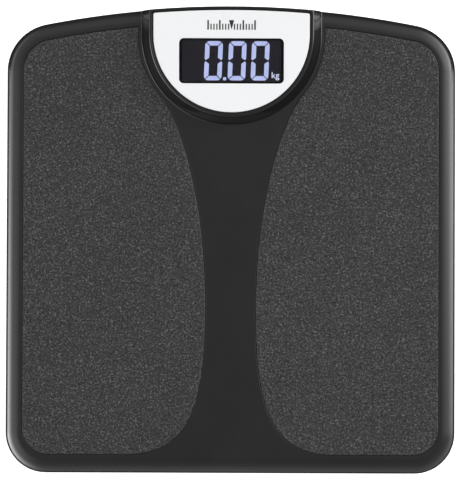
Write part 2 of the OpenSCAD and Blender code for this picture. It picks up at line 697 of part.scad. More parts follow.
platform();
base_cover();
mat(1);  // left_mat
mat(0);  // right_mat
display_hood();
display_fascia();
display_window();
lcd_glass();
lcd_backlight();
lcd_frame();
zebra_strip();
main_circuit_board();
board_components();
board_screws();
hood_screws();
load_cell(FEET[0]);  // load_cell_front_left
load_cell(FEET[1]);  // load_cell_front_right
load_cell(FEET[2]);  // load_cell_rear_left
load_cell(FEET[3]);  // load_cell_rear_right
foot_cap(FEET[0]);  // foot_cap_front_left
foot_cap(FEET[1]);  // foot_cap_front_right
foot_cap(FEET[2]);  // foot_cap_rear_left
foot_cap(FEET[3]);  // foot_cap_rear_right
foot_pad(FEET[0]);  // foot_pad_front_left
foot_pad(FEET[1]);  // foot_pad_front_right
foot_pad(FEET[2]);  // foot_pad_rear_left
foot_pad(FEET[3]);  // foot_pad_rear_right
cell_bracket(FEET[0]);  // cell_bracket_front_left
cell_bracket(FEET[1]);  // cell_bracket_front_right
cell_bracket(FEET[2]);  // cell_bracket_rear_left
cell_bracket(FEET[3]);  // cell_bracket_rear_right
strain_gauges();
bracket_screws();
case_screws();
load_cell_wires();
battery(-1, 1);  // battery_front
battery(1, -1);  // battery_rear
battery_springs();
battery_contacts();
battery_door();
battery_wires();
unit_button();
switch_plunger();
unit_switch();
switch_board();
switch_board_screws();
switch_wires();
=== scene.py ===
import json
import math

import bmesh
import bpy
from mathutils import Matrix, Vector, noise
from mathutils.geometry import delaunay_2d_cdt


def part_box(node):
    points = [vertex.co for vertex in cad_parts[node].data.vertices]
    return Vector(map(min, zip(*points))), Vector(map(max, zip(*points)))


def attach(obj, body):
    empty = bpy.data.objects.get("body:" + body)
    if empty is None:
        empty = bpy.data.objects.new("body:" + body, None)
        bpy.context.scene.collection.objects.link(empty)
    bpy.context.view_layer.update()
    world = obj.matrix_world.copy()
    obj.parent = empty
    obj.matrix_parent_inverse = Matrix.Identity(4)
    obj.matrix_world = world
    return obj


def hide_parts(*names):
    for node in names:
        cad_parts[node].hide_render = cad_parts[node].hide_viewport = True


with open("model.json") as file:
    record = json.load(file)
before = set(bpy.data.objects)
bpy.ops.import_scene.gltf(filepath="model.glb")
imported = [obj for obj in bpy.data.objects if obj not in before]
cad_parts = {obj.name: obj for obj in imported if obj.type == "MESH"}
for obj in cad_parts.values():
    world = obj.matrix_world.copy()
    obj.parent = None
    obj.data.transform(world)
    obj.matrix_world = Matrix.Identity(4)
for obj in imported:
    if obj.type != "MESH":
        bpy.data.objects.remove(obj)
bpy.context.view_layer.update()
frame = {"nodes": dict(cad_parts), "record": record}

MM = 0.001
ROOT = "scale_body"
CORNERS = ("front_left", "front_right", "rear_left", "rear_right")

# ---------- sizes, from the frame where it has them ----------

body_low, body_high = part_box("platform")
hood_low, hood_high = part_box("display_hood")
fascia_low, fascia_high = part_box("display_fascia")
window_low, window_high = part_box("display_window")
lcd_low, lcd_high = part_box("lcd_glass")
mat_low, mat_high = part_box("right_mat")

HALF_W = body_high.x
FRONT_Y = body_low.y
ARCH_Y = body_high.y
TOP_Z = 30 * MM            # the standing surface
SKIRT_Z = body_low.z
FRONT_R = 27 * MM          # front corners, in plan
REAR_R = 32 * MM           # rear corners, in plan
ARCH_R = 640 * MM          # the arched rear edge
RIM_R = 10 * MM            # the platform's rounded rim
SHELL_T = 3 * MM           # the platform's wall
ARCH_CY = ARCH_Y - ARCH_R
FRONT_CX, FRONT_CY = HALF_W - FRONT_R, FRONT_Y + FRONT_R
REAR_CX = HALF_W - REAR_R
REAR_CY = ARCH_CY + math.sqrt((ARCH_R - REAR_R) ** 2 - REAR_CX ** 2)
ARCH_A = math.atan2(REAR_CY - ARCH_CY, REAR_CX)

MAT_MARGIN = HALF_W - mat_high.x
MAT_FRONT = mat_low.y
MAT_Z0, MAT_Z1 = mat_low.z, mat_high.z
MAT_EDGE_R = 17.5 * MM     # a mat's front outer corner
MAT_POD_GAP = 2.4 * MM     # from the pod to a mat
GROOVE = 0.5 * MM          # around a mat, in its recess
WAIST_X = 16.8 * MM        # a mat's edge at the spine's waist
WAIST_Y = -46.9 * MM
TOE_X = 70 * MM            # where the straight front edge of a mat ends
POD_JOIN_DY = 39.7 * MM    # how far ahead of the pod's centre a mat's edge meets the pod

POD_R = hood_high.x
WINDOW_CX = (window_low.x + window_high.x) / 2
WINDOW_CY = (window_low.y + window_high.y) / 2
WINDOW_R = 3 * MM          # its corners
WINDOW_GAP = 0.15 * MM     # round the lens, in the face plate
POD_CY = WINDOW_CY + 17.8 * MM
POD_TOP = hood_high.z
POD_BAND_Z = hood_low.z    # the foot of the band behind the platform's rim
POD_BAND_D = 11 * MM       # that band, front to back
POD_SEAT_Z = 25 * MM       # the ledge inside the pod's skirt
POD_SKIRT_R = POD_R - 3.8 * MM
POD_LEAN = 1.1 * MM        # how far the pod's rear face leans in
DECK_Z = fascia_low.z      # the floor under the face plate
CEILING_Z = DECK_Z - 1.8 * MM
FASCIA_R = fascia_high.x
FASCIA_TOP = fascia_high.z
HALF_PI = math.pi / 2


# ---------- mesh helpers ----------

def arc(cx, cy, r, a0, a1, n):
    """Points of an arc, both ends included."""
    angles = [a0 + (a1 - a0) * i / n for i in range(n + 1)]
    return [(cx + r * math.cos(a), cy + r * math.sin(a)) for a in angles]


def line(p, q, n):
    """Points of a line, both ends left out."""
    return [(p[0] + (q[0] - p[0]) * i / n, p[1] + (q[1] - p[1]) * i / n) for i in range(1, n)]


def bezier(p0, p1, p2, p3, n):
    """Points of a cubic curve, without its first point."""
    points = []
    for i in range(1, n + 1):
        t = i / n
        s = 1 - t
        w = (s ** 3, 3 * s * s * t, 3 * s * t * t, t ** 3)
        points.append(tuple(sum(a * q[k] for a, q in zip(w, (p0, p1, p2, p3))) for k in (0, 1)))
    return points


def outline(inset):
    """The body's outline set in by a distance, anticlockwise from the middle of the front edge."""
    side = HALF_W - inset
    front = FRONT_Y + inset
    right = ([(0.0, front)] + line((0, front), (FRONT_CX, front), 24)
             + arc(FRONT_CX, FRONT_CY, FRONT_R - inset, -HALF_PI, 0, 18)
             + line((side, FRONT_CY), (side, REAR_CY), 30)
             + arc(REAR_CX, REAR_CY, REAR_R - inset, 0, ARCH_A, 18)
             + arc(0, ARCH_CY, ARCH_R - inset, ARCH_A, HALF_PI, 30)[1:])
    left = [(-x, y) for x, y in reversed(right[1:-1])]
    return right + left


def rounded_rect(cx, cy, w, d, r, n=8):
    """A rectangle with round corners, anticlockwise."""
    x, y = w / 2 - r, d / 2 - r
    return (arc(cx + x, cy + y, r, 0, HALF_PI, n)
            + arc(cx - x, cy + y, r, HALF_PI, math.pi, n)
            + arc(cx - x, cy - y, r, math.pi, 3 * HALF_PI, n)
            + arc(cx + x, cy - y, r, 3 * HALF_PI, 4 * HALF_PI, n))


def mat_outline(grow):
    """The right mat's outline, grown by a distance, anticlockwise from the rear edge beside the pod."""
    reach = MAT_MARGIN - grow
    rear_r = ARCH_R - reach
    side = HALF_W - reach
    bottom = MAT_FRONT - grow
    edge_r = MAT_EDGE_R + grow
    pod_r = POD_R + MAT_POD_GAP - grow
    pod_x = math.sqrt(pod_r ** 2 - POD_JOIN_DY ** 2)
    join = (pod_x, POD_CY - POD_JOIN_DY)
    waist = (WAIST_X - grow, WAIST_Y)
    toe = (TOE_X, bottom)
    start_a = math.acos(pod_r / rear_r)
    points = arc(side - edge_r, bottom + edge_r, edge_r, 0, -HALF_PI, 12)
    points = line((side, REAR_CY), (side, bottom + edge_r), 40) + points
    points = arc(REAR_CX, REAR_CY, REAR_R - reach, ARCH_A, 0, 16) + points
    points = arc(0, ARCH_CY, rear_r, start_a, ARCH_A, 20)[:-1] + points
    points += line((side - edge_r, bottom), toe, 10) + [toe]
    points += bezier(toe, (30 * MM - grow, bottom), (waist[0], waist[1] - 70 * MM), waist, 48)
    points += bezier(waist, (waist[0], waist[1] + 78 * MM),
                     (join[0] - 12 * MM, join[1] - 13.7 * MM), join, 48)
    points += arc(0, POD_CY, pod_r, math.atan2(-POD_JOIN_DY, pod_x), 0, 28)[1:]
    return list(reversed(points))


def as_drawn(points):
    """The same outline: a mat on the right."""
    return points


def flipped(points):
    """The same outline on the other side, still anticlockwise."""
    return [(-x, y) for x, y in reversed(points)]


def pod_ring(r, rear_inset, corner, z):
    """A loop round the pod: a half circle in front, two straight sides, round rear corners and the rear
    arch. Where it dips behind the platform's rim, the lower loops go down to the foot of that band."""
    rear_r = ARCH_R - rear_inset
    cx = r - corner
    cy = ARCH_CY + math.sqrt((rear_r - corner) ** 2 - cx ** 2)
    a = math.atan2(cy - ARCH_CY, cx)
    band_y = ARCH_CY + math.sqrt((ARCH_R - POD_BAND_D) ** 2 - r ** 2)
    low = min(z, POD_BAND_Z) if z < TOP_Z + 0.1 * MM else z
    front = [(x, y, z) for x, y in arc(0, POD_CY, r, -HALF_PI, 0, 48)]
    side = [(r, POD_CY + (band_y - POD_CY) * i / 3, z) for i in range(1, 4)]
    band = [(r, band_y, low)] + [(r, band_y + (cy - band_y) * i / 4, low) for i in range(1, 4)]
    edge = arc(cx, cy, corner, 0, a, 6) + arc(0, ARCH_CY, rear_r, a, HALF_PI, 26)[1:]
    rear = [(x, y, low) for x, y in edge]
    right = front + side + band + rear
    left = [(-x, y, w) for x, y, w in reversed(right[1:-1])]
    return right + left


def pod_plan(r, rear_inset):
    """The pod's plain U-shaped plan: a half circle, two sides and the rear arch."""
    rear_r = ARCH_R - rear_inset
    corner_y = ARCH_CY + math.sqrt(rear_r ** 2 - r ** 2)
    a = math.acos(r / rear_r)
    right = arc(0, POD_CY, r, -HALF_PI, 0, 48) + line((r, POD_CY), (r, corner_y), 3)
    right += arc(0, ARCH_CY, rear_r, a, HALF_PI, 26)
    return right + [(-x, y) for x, y in reversed(right[1:-1])]


def level(points, z):
    """Plan points at a height."""
    return [(x, y, z) for x, y in points]


class Shape:
    """A mesh in the making."""

    def __init__(self):
        self.bm = bmesh.new()

    def loop(self, points):
        """A ring of new vertices."""
        return [self.bm.verts.new(p) for p in points]

    def bridge(self, a, b):
        """Quads between two loops of the same length."""
        n = len(a)
        for i in range(n):
            j = (i + 1) % n
            self.bm.faces.new((a[i], a[j], b[j], b[i]))

    def loft(self, loops):
        """A skin through loops of the same length, open at both ends."""
        made = [self.loop(p) for p in loops]
        for a, b in zip(made, made[1:]):
            self.bridge(a, b)
        return made

    def fill(self, loops, z, extra=(), up=True):
        """Triangles over the flat area inside the first loop of vertices and outside the others, with
        the extra points as corners."""
        verts = [v for loop in loops for v in loop]
        flat = [Vector((v.co.x, v.co.y)) for v in verts] + [Vector(p) for p in extra]
        edges, faces, start = [], [], 0
        for loop in loops:
            ids = list(range(start, start + len(loop)))
            edges += list(zip(ids, ids[1:] + ids[:1]))
            faces.append(ids)
            start += len(loop)
        out, _, tris, source, _, owners = delaunay_2d_cdt(flat, edges, faces, 1, 1e-9)
        known = {}
        for i, src in enumerate(source):
            first = min(src) if src else -1
            old = 0 <= first < len(verts)
            known[i] = verts[first] if old else self.bm.verts.new((out[i].x, out[i].y, z))
        for tri, owner in zip(tris, owners):
            in_a_hole = len(loops) > 1 and (0 not in owner or len(owner) > 1)
            if not in_a_hole:
                self.bm.faces.new([known[i] for i in (tri if up else reversed(tri))])

    def as_object(self, name):
        """The mesh as it stands, in a new object."""
        mesh = bpy.data.meshes.new(name)
        self.bm.to_mesh(mesh)
        self.bm.free()
        piece = bpy.data.objects.new(name, mesh)
        bpy.context.scene.collection.objects.link(piece)
        return piece

    def done(self, name, node, material, smooth_angle, body=ROOT):
        """The cleaned mesh as a shaded and dressed piece."""
        bmesh.ops.remove_doubles(self.bm, verts=self.bm.verts, dist=1e-7)
        bmesh.ops.dissolve_degenerate(self.bm, dist=1e-7, edges=self.bm.edges)
        bmesh.ops.recalc_face_normals(self.bm, faces=self.bm.faces)
        piece = self.as_object(name)
        shade(piece, smooth_angle)
        return dress(piece, node, material, body)


def shade(piece, angle):
    """Smooth shading, with sharp edges past an angle."""
    mesh = piece.data
    mesh.shade_smooth()
    mesh.set_sharp_from_angle(angle=math.radians(angle))


def dress(piece, node, material, body=ROOT):
    """Gives a new piece its material and its body, and hides the CAD node that it stands for."""
    piece.data.materials.clear()
    piece.data.materials.append(material)
    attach(piece, body)
    if node:
        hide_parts(node)
    return piece


def cut(piece, cutter):
    """Takes a closed cutter shape away from a piece."""
    mod = piece.modifiers.new("cut", "BOOLEAN")
    mod.operation = "DIFFERENCE"
    mod.solver = "EXACT"
    mod.object = cutter
    bpy.context.view_layer.update()
    result = bpy.data.meshes.new_from_object(piece.evaluated_get(bpy.context.evaluated_depsgraph_get()))
    piece.modifiers.clear()
    piece.data = result
    bpy.data.objects.remove(cutter)


def cutter_from(loops):
    """A closed solid lofted through loops, used only for cutting."""
    shape = Shape()
    made = shape.loft(loops)
    shape.bm.faces.new(list(reversed(made[0])))
    shape.bm.faces.new(made[-1])
    bmesh.ops.recalc_face_normals(shape.bm, faces=shape.bm.faces)
    return shape.as_object("cutter")


# ---------- materials ----------

def add_node(tree, kind, inputs=None, **settings):
    """Adds a shader node. Each input is linked to a socket or set to a value."""
    n = tree.nodes.new(kind)
    for key, value in settings.items():
        setattr(n, key, value)
    for key, value in (inputs or {}).items():
        if isinstance(value, bpy.types.NodeSocket):
            tree.links.new(value, n.inputs[key])
        else:
            n.inputs[key].default_value = value
    return n


def set_stops(ramp, stops):
    """Gives a colour ramp its stops, each a place from 0 to 1 and a colour."""
    while len(ramp.elements) < len(stops):
        ramp.elements.new(0.5)
    for element, (at, colour) in zip(ramp.elements, stops):
        element.position = at
        element.color = (*colour, 1)


class Paint:
    """A material's node tree, built around one Principled shader."""

    def __init__(self, name, roughness, **fixed):
        self.mat = bpy.data.materials.new(name)
        self.mat.use_nodes = True
        self.nodes = self.mat.node_tree.nodes
        self.links = self.mat.node_tree.links
        self.shader = self.nodes["Principled BSDF"]
        self.shader.inputs["Roughness"].default_value = roughness
        for key, value in fixed.items():
            self.shader.inputs[key.replace("_", " ")].default_value = value
        self.place = self.nodes.new("ShaderNodeTexCoord").outputs["Object"]

    def node(self, kind, inputs=None, **settings):
        return add_node(self.mat.node_tree, kind, inputs, **settings)

    def noise(self, size, detail=3.0, rough=0.5, stretch=(1, 1, 1)):
        """Smooth noise whose features are about size metres across."""
        at = self.node("ShaderNodeMapping", {"Vector": self.place, "Scale": stretch})
        return self.node("ShaderNodeTexNoise", {"Vector": at.outputs[0], "Scale": 1 / size, "Detail": detail,
                                                "Roughness": rough}).outputs["Fac"]

    def ranged(self, value, low, high, start=0.0, end=1.0):
        """A value mapped from start..end to low..high."""
        return self.node("ShaderNodeMapRange", {"Value": value, "From Min": start, "From Max": end,
                                                "To Min": low, "To Max": high}).outputs[0]

    def ramp(self, value, *stops):
        """The colour that a value picks between stops."""
        n = self.node("ShaderNodeValToRGB", {"Fac": value})
        set_stops(n.color_ramp, stops)
        return n.outputs["Color"]

    def math(self, kind, a, b):
        return self.node("ShaderNodeMath", {0: a, 1: b}, operation=kind).outputs[0]

    def colour(self, socket):
        self.links.new(socket, self.shader.inputs["Base Color"])

    def rough(self, socket):
        self.links.new(socket, self.shader.inputs["Roughness"])

    def bump(self, height, distance):
        bumped = self.node("ShaderNodeBump", {"Height": height, "Distance": distance, "Strength": 1.0})
        self.links.new(bumped.outputs[0], self.shader.inputs["Normal"])


def grey(v, tint=(1, 1, 1)):
    return tuple(v * t for t in tint)


def moulded_plastic(name, dark, light, rough_low, rough_high, grain=0.35 * MM, depth=0.01 * MM,
                    tint=(1, 1, 1)):
    """Moulded plastic: faint flow marks in its tone, uneven sheen and a fine spark-eroded grain."""
    p = Paint(name, 0.4, IOR=1.5)
    flow = p.noise(45 * MM, 4, 0.55)
    p.colour(p.ramp(flow, (0.3, grey(dark, tint)), (0.7, grey(light, tint))))
    smudge = p.math("MULTIPLY", p.noise(22 * MM, 5, 0.6), p.noise(3 * MM, 3, 0.6))
    p.rough(p.ranged(smudge, rough_low, rough_high, 0.12, 0.42))
    p.bump(p.noise(grain, 3, 0.6), depth)
    return p.mat


def pebbled_mat(name):
    """Anti-slip vinyl: irregular pebbles, with slightly shinier valleys between them. Painted shade darkens
    the valleys and painted light brightens the pebbles' tops, following the grain's height.
    """
    p = Paint(name, 0.5, IOR=1.5, Specular_IOR_Level=0.35)
    pebble = p.node("ShaderNodeAttribute", attribute_name="grain").outputs["Fac"]
    fine = p.noise(1.15 * MM, 2, 0.75)
    broad = p.noise(60 * MM, 3, 0.5)
    # the grain's height tints the colour: painted shade in the valleys and painted light on the tops; the
    # fine and broad noise add random tone
    tone = p.math("ADD", p.ranged(pebble, -0.09, 0.09), p.math("ADD", fine, p.ranged(broad, -0.03, 0.03)))
    p.colour(p.ramp(tone, (0.3, grey(0.0015)), (0.5, grey(0.022)), (0.7, grey(0.1))))
    p.rough(p.ranged(pebble, 0.5, 0.7))
    p.bump(fine, 0.2 * MM)
    return p.mat


def painted_face(name):
    """Pale satin paint with a very fine fleck, under a thin clear coat."""
    p = Paint(name, 0.3, IOR=1.5, Coat_Weight=0.25, Coat_Roughness=0.08)
    fleck = p.noise(0.25 * MM, 2, 0.7)
    broad = p.noise(60 * MM, 3, 0.5)
    mixed = p.math("ADD", p.math("MULTIPLY", fleck, 0.5), p.math("MULTIPLY", broad, 0.5))
    p.colour(p.ramp(mixed, (0.35, (0.672, 0.677, 0.687)), (0.65, (0.688, 0.693, 0.703))))
    p.rough(p.ranged(broad, 0.26, 0.36, 0.3, 0.7))
    p.bump(fleck, 0.002 * MM)
    return p.mat


def tinted_lens(name):
    """Polished smoke-tinted acrylic, with faint wipe marks in its sheen."""
    p = Paint(name, 0.03, IOR=1.3, Transmission_Weight=1.0)
    wipes = p.noise(9 * MM, 4, 0.6, stretch=(0.25, 1, 1))
    p.colour(p.ramp(wipes, (0.3, (0.80, 0.80, 0.84)), (0.7, (0.84, 0.84, 0.88))))
    p.rough(p.ranged(wipes, 0.015, 0.05, 0.35, 0.7))
    return p.mat


def glowing(name, colour, low):
    """A lit segment or panel, slightly uneven, as light from a light guide behind it is."""
    p = Paint(name, 0.4, IOR=1.5, Specular_IOR_Level=0.1, Emission_Strength=1.0)
    spread = p.noise(8 * MM, 2, 0.5)
    lit = p.ramp(spread, (0.3, tuple(c * low for c in colour)), (0.7, colour))
    p.links.new(lit, p.shader.inputs["Emission Color"])
    p.colour(p.ramp(spread, (0.3, grey(0.005)), (0.7, grey(0.008))))
    p.bump(p.noise(0.5 * MM, 2), 0.002 * MM)
    return p.mat


def rubber(name, dark, light):
    """Matte rubber with dust in its texture."""
    p = Paint(name, 0.8, IOR=1.5, Sheen_Weight=0.15, Sheen_Roughness=0.6)
    dust = p.noise(5 * MM, 5, 0.65)
    p.colour(p.ramp(dust, (0.35, grey(dark)), (0.75, grey(light, (1, 0.99, 0.96)))))
    p.rough(p.ranged(dust, 0.7, 0.9, 0.3, 0.7))
    p.bump(p.noise(0.5 * MM, 4, 0.65), 0.03 * MM)
    return p.mat


def plated_metal(name, tone, rough_low, rough_high, brushed=False, tint=(1, 1, 1)):
    """Plated or brushed steel with fine scratches."""
    p = Paint(name, 0.3, Metallic=1.0, IOR=2.5)
    streaks = p.noise(0.6 * MM, 4, 0.6, stretch=(0.06, 1, 1) if brushed else (1, 1, 1))
    cloud = p.noise(7 * MM, 4, 0.6)
    p.colour(p.ramp(cloud, (0.3, grey(tone * 0.82, tint)), (0.7, grey(tone, tint))))
    p.rough(p.ranged(p.math("MULTIPLY", streaks, cloud), rough_low, rough_high, 0.1, 0.4))
    p.bump(streaks, 0.004 * MM)
    return p.mat


def circuit_board(name):
    """Green solder mask over faint copper tracks."""
    p = Paint(name, 0.35, IOR=1.5, Coat_Weight=0.4, Coat_Roughness=0.2)
    tracks = p.node("ShaderNodeTexBrick", {
        "Vector": p.place, "Scale": 1 / (9 * MM), "Mortar Size": 0.08,
        "Color1": (0.012, 0.13, 0.045, 1), "Color2": (0.014, 0.15, 0.05, 1), "Mortar": (0.03, 0.24, 0.09, 1)})
    p.colour(tracks.outputs["Color"])
    p.rough(p.ranged(p.noise(4 * MM, 3), 0.3, 0.42))
    p.bump(tracks.outputs["Fac"], 0.03 * MM)
    return p.mat


def soft_sleeve(name, dark, light, size=1.5 * MM):
    """Wire insulation, a battery's sleeve or ink: coloured plastic with slight drift in its tone."""
    p = Paint(name, 0.4, IOR=1.5)
    drift = p.noise(size * 4, 3, 0.6)
    p.colour(p.ramp(drift, (0.3, dark), (0.7, light)))
    p.rough(p.ranged(drift, 0.32, 0.5, 0.3, 0.7))
    p.bump(p.noise(size * 0.3, 3), 0.01 * MM)
    return p.mat


def pale_floor(name):
    """The plain pale ground that the scale lies on. It is clear from below, so the underside can be seen."""
    p = Paint(name, 0.85, IOR=1.3, Emission_Strength=0.75)
    drift = p.noise(0.5, 2)
    p.colour(p.ramp(drift, (0.3, grey(0.88)), (0.7, grey(0.9))))
    p.shader.inputs["Emission Color"].default_value = (1, 1, 1, 1)
    p.bump(p.noise(0.01, 2), 0.02 * MM)
    clear = p.node("ShaderNodeBsdfTransparent").outputs[0]
    seen_from_below = p.node("ShaderNodeNewGeometry").outputs["Backfacing"]
    mixed = p.node("ShaderNodeMixShader", {0: seen_from_below, 1: p.shader.outputs[0], 2: clear})
    p.links.new(mixed.outputs[0], p.nodes["Material Output"].inputs["Surface"])
    return p.mat


MATS = {
    "platform_abs": moulded_plastic("platform_abs", 0.006, 0.008, 0.17, 0.23, depth=0.001 * MM),
    "base_abs": moulded_plastic("base_abs", 0.012, 0.017, 0.45, 0.6, grain=0.5 * MM, depth=0.025 * MM),
    "mat_vinyl": pebbled_mat("mat_vinyl"),
    # the hood's black is darker than the platform's: partly its own plastic, partly painted shade for the dim
    # flank and the groove round the face plate
    "hood_abs": moulded_plastic("hood_abs", 0.0035, 0.0045, 0.12, 0.17, depth=0.001 * MM),
    "fascia_paint": painted_face("fascia_paint"),
    "window_lens": tinted_lens("window_lens"),
    "lcd": glowing("lcd", (0.004, 0.0032, 0.008), 0.8),
    "lcd_lit": glowing("lcd_lit", (0.6, 0.68, 1.05), 0.9),
    "lcd_sign": glowing("lcd_sign", (1.3, 1.35, 1.7), 0.95),
    "backlight": soft_sleeve("backlight", (0.62, 0.66, 0.78), (0.7, 0.74, 0.86)),
    "white_plastic": moulded_plastic("white_plastic", 0.6, 0.68, 0.4, 0.5, tint=(1, 0.99, 0.95)),
    "zebra_rubber": rubber("zebra_rubber", 0.25, 0.36),
    "board": circuit_board("board"),
    "chip": moulded_plastic("chip", 0.012, 0.02, 0.4, 0.6),
    "screw_steel": plated_metal("screw_steel", 0.62, 0.22, 0.45),
    "gauge_foil": plated_metal("gauge_foil", 0.7, 0.3, 0.5, tint=(1, 0.72, 0.38)),
    "wire_red": soft_sleeve("wire_red", (0.3, 0.02, 0.015), (0.42, 0.035, 0.025)),
    "wire_black": soft_sleeve("wire_black", grey(0.015), grey(0.025)),
    "wire_blue": soft_sleeve("wire_blue", (0.02, 0.03, 0.24), (0.03, 0.05, 0.34)),
    "cell_steel": plated_metal("cell_steel", 0.55, 0.3, 0.5, brushed=True),
    "foot_abs": moulded_plastic("foot_abs", 0.015, 0.02, 0.4, 0.5),
    "foot_rubber": rubber("foot_rubber", 0.03, 0.06),
    "battery_jacket": soft_sleeve("battery_jacket", (0.32, 0.1, 0.015), (0.42, 0.15, 0.02), 4 * MM),
    "contact_metal": plated_metal("contact_metal", 0.68, 0.18, 0.4),
    "button_abs": moulded_plastic("button_abs", 0.03, 0.04, 0.4, 0.5),
    "print_black": soft_sleeve("print_black", grey(0.006), grey(0.01)),
}

# ---------- the CAD's own nodes ----------

slot_of = {s["node"]: s["material_slot"] for s in frame["record"]["subparts"]}
body_of = {node: body for body, nodes in frame["record"]["behaviour"]["bodies"].items() for node in nodes}
for name, piece in frame["nodes"].items():
    piece.data.materials.clear()
    piece.data.materials.append(MATS[slot_of[name]])
    shade(piece, 30)


# ---------- platform ----------

def platform_shell():
    """The top shell: a rounded rim swept round the outline, the mats' recesses sunk in its flat top,
    and the pod's notch cut out of the rear rim."""
    lip = 0.4 * MM
    profile = [(SHELL_T, TOP_Z - RIM_R), (SHELL_T, SKIRT_Z + lip), (SHELL_T - 0.1 * MM, SKIRT_Z + 0.1 * MM),
               (SHELL_T - lip, SKIRT_Z), (lip, SKIRT_Z), (0.1 * MM, SKIRT_Z + 0.1 * MM), (0, SKIRT_Z + lip),
               (0, (SKIRT_Z + TOP_Z - RIM_R) / 2)]
    steps = 20
    for i in range(steps + 1):
        a = HALF_PI * i / steps
        profile.append((RIM_R * (1 - math.cos(a)), TOP_Z - RIM_R * (1 - math.sin(a))))
    profile.append((RIM_R + 0.3 * MM, TOP_Z))
    shape = Shape()
    rim = shape.loft([level(outline(u), z) for u, z in profile])
    inner_r = RIM_R - SHELL_T
    inner = shape.loft([level(outline(SHELL_T + inner_r * (1 - math.cos(HALF_PI * i / 8))),
                              TOP_Z - RIM_R + inner_r * math.sin(HALF_PI * i / 8)) for i in range(9)])
    pod_gap = 0.3 * MM
    opening = pod_plan(POD_SKIRT_R + pod_gap, POD_BAND_D + 2 * MM)
    hole = shape.loft([level(opening, TOP_Z), level(opening, TOP_Z - SHELL_T)])
    shape.fill([inner[-1], hole[1]], TOP_Z - SHELL_T, up=False)
    holes = [hole[0]]
    steps_down = [(GROOVE + 0.4 * MM, TOP_Z), (GROOVE + 0.15 * MM, TOP_Z),
                  (GROOVE + 0.05 * MM, TOP_Z - 0.05 * MM), (GROOVE, TOP_Z - 0.16 * MM), (GROOVE, MAT_Z0)]
    for side in (as_drawn, flipped):
        loops = shape.loft([level(side(mat_outline(g)), z) for g, z in steps_down])
        holes.append(loops[0])
        shape.fill([loops[-1]], MAT_Z0)
    shape.fill([rim[-1]] + holes, TOP_Z)
    piece = shape.done("platform_shell", "platform", MATS["platform_abs"], 35)
    half = POD_R + pod_gap
    reach = 1.02 * half / ARCH_R       # the angle that the notch spans on each side of the middle
    rear = arc(0, ARCH_CY, ARCH_R + 5 * MM, HALF_PI - reach, HALF_PI + reach, 40)
    front = arc(0, ARCH_CY, ARCH_R - POD_BAND_D - 2 * MM - pod_gap, HALF_PI + reach, HALF_PI - reach, 40)
    notch = [(max(-half, min(half, x)), y) for x, y in rear + front]
    cut(piece, cutter_from([level(notch, POD_BAND_Z), level(notch, TOP_Z + MM)]))
    shade(piece, 35)
    return piece


# ---------- mats ----------

def grain_height(x, y):
    """Height of the pebbled grain, 0 to 1: rounded irregular cells, joined here and there."""
    size = 1.7 * MM
    bend = 3.5 * MM
    fine = 1.3 * MM
    warp = noise.noise(Vector((x / bend, y / bend, 7.0)))
    p = Vector((x / size + 0.45 * warp, y / size - 0.4 * warp, 3.1 * (1 if x > 0 else 2)))
    near, second = noise.voronoi(p, distance_metric="DISTANCE")[0][:2]
    ridge = min(1.0, (second - near) * 1.6)
    soft = 0.5 + 0.5 * noise.noise(Vector((x / fine, y / fine, 21.0)))
    return max(0.0, min(1.0, 0.72 * ridge + 0.4 * soft - 0.08))


def spot(v):
    """A key for a vertex's place in plan."""
    return round(v.co.x, 7), round(v.co.y, 7)


def standing_mat(name, node, side):
    """One mat: a rounded edge, and a fine net over its top that is raised into grain."""
    relief = 0.3 * MM
    lift = MAT_Z1 - relief
    shape = Shape()
    rows = [(-0.1 * MM, MAT_Z0), (-0.1 * MM, lift - 0.25 * MM), (-0.18 * MM, lift - 0.1 * MM),
            (-0.4 * MM, lift)]
    loops = shape.loft([level(side(mat_outline(g)), z) for g, z in rows])
    inside = net_inside(side(mat_outline(-0.9 * MM)), pitch=0.64 * MM)
    shape.fill([loops[-1]], lift, extra=inside)
    shape.fill([loops[0]], MAT_Z0, up=False)
    edge_verts = {v for loop in loops for v in loop}
    heights = {}
    for v in shape.bm.verts:
        if v not in edge_verts and v.co.z > lift - 1e-6:
            h = grain_height(v.co.x, v.co.y)
            heights[spot(v)] = h
            v.co.z = lift + relief * h
    piece = shape.done(name, node, MATS["mat_vinyl"], 60)
    # the grain's height, which the mat's material turns into roughness, into painted shade in the valleys and
    # into painted light on the tops
    layer = piece.data.attributes.new("grain", "FLOAT", "POINT")
    layer.data.foreach_set("value", [heights.get(spot(v), 0.4) for v in piece.data.vertices])
    return piece


def net_inside(loop, pitch):
    """Points of a staggered net that lie inside a loop."""
    ys = [p[1] for p in loop]
    row_pitch = pitch * 0.866       # equal-sided triangles
    rows = int((max(ys) - min(ys)) / row_pitch) + 1
    points = []
    n = len(loop)
    for j in range(rows):
        y = min(ys) + (j + 0.5) * row_pitch
        crossings = []
        for i in range(n):
            (x0, y0), (x1, y1) = loop[i], loop[(i + 1) % n]
            if (y0 > y) != (y1 > y):
                crossings.append(x0 + (x1 - x0) * (y - y0) / (y1 - y0))
        crossings.sort()
        for a, b in zip(crossings[::2], crossings[1::2]):
            start = pitch * (0.5 if j % 2 else 0.0)
            k = math.ceil((a - start) / pitch)
            while k * pitch + start < b:
                x = k * pitch + start
                if x > a:
                    points.append((x, y))
                k += 1
    return points


# ---------- display pod ----------

